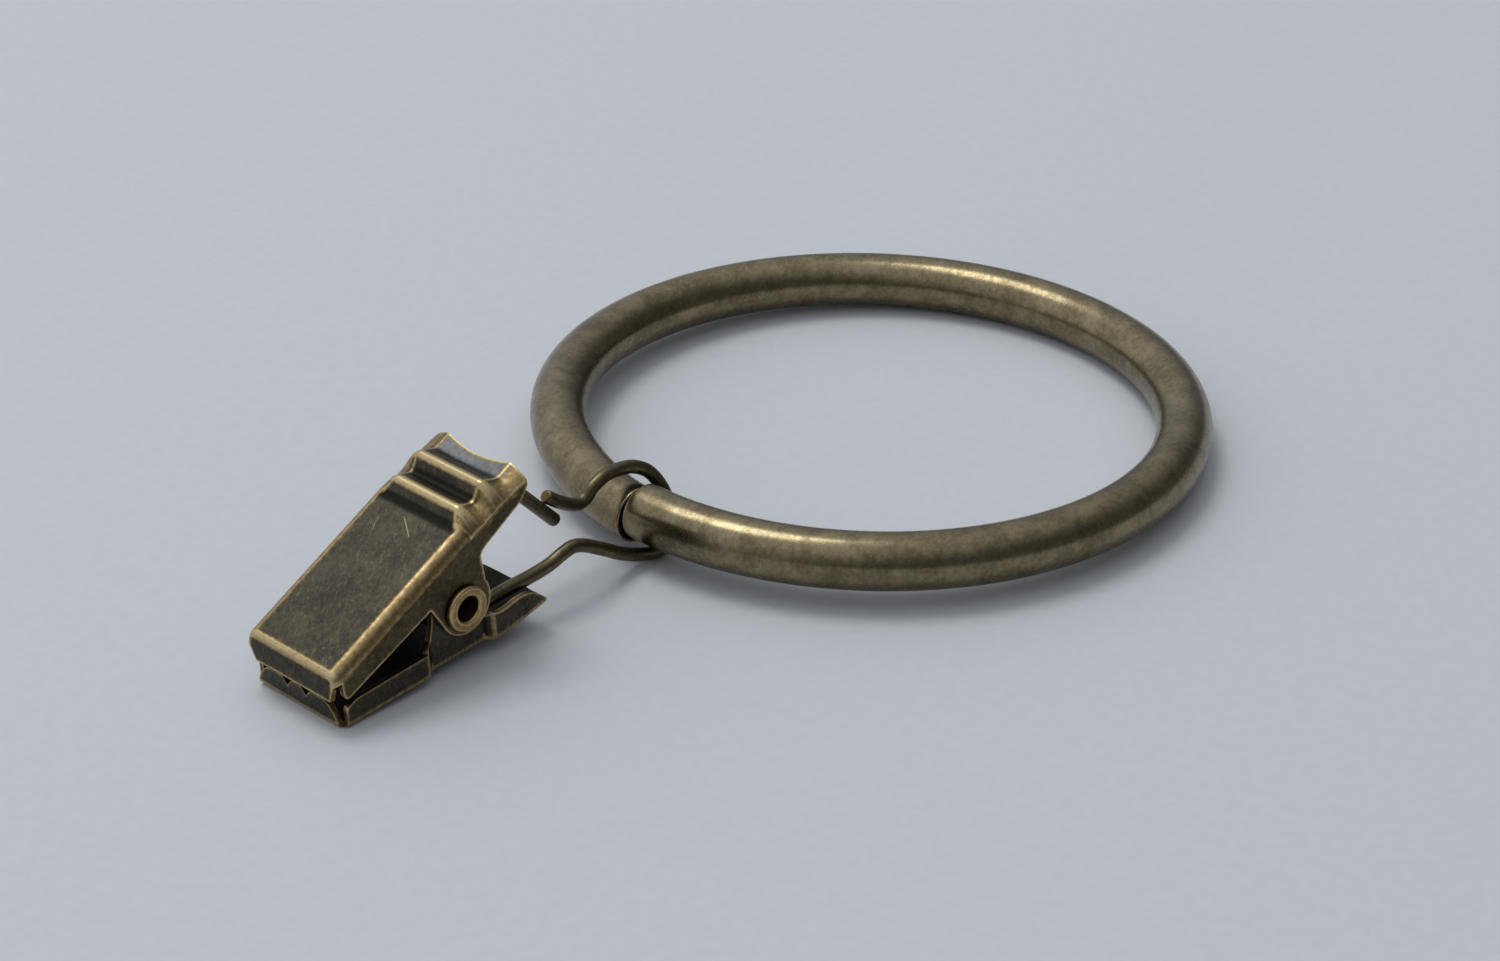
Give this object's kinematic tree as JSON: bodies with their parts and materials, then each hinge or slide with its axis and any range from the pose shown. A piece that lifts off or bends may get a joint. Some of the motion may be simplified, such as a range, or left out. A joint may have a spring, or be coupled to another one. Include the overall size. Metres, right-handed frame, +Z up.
{
  "type": "curtain clip ring",
  "caption": "Round curtain ring of joined tube with a sprung pinch clip hooked onto it, which grips a curtain's top edge and slides along a rod.",
  "frame": {"origin": "middle of the part's footprint, on the surface it lies on", "axes": "+X from the clip's front to the far side of the ring, +Y across the clip towards the side its spring hooks over to, +Z up from the surface"},
  "size_m": [0.0956, 0.061, 0.0156],
  "materials": {
    "ring": "antique brass, brown patina rubbed to satin",
    "pin": "dulled steel",
    "lower_sheet": "antique brass, dark, edges rubbed bright",
    "upper_sheet": "antique brass, dark, folds rubbed bright",
    "rivet": "antique brass, bright rim",
    "wire": "antique brass wire, satin"
  },
  "bodies": {
    "ring": {"ring_tube": "ring", "ring_joint_pin": "pin"},
    "clip": {"lower_jaw": "lower_sheet", "hinge_rivet": "rivet", "hook_spring": "wire"},
    "upper": {"upper_jaw": "upper_sheet", "spring_upper_leg": "wire"}
  },
  "joints": [
    {"name": "clip_swing", "type": "hinge", "parent": "ring", "child": "clip", "pos_m": [-0.0107, 0.00147, 0.00372], "axis": [0.0523, 0.9986, -0.0013], "range_deg": [-35, 110]},
    {"name": "jaw_opening", "type": "hinge", "parent": "clip", "child": "upper", "pos_m": [-0.03401, 0.00245, 0.00584], "axis": [0, 1, 0], "range_deg": [0, 23], "stiffness_Nm_per_rad": 0.06, "springref_deg": -34.38}
  ]
}
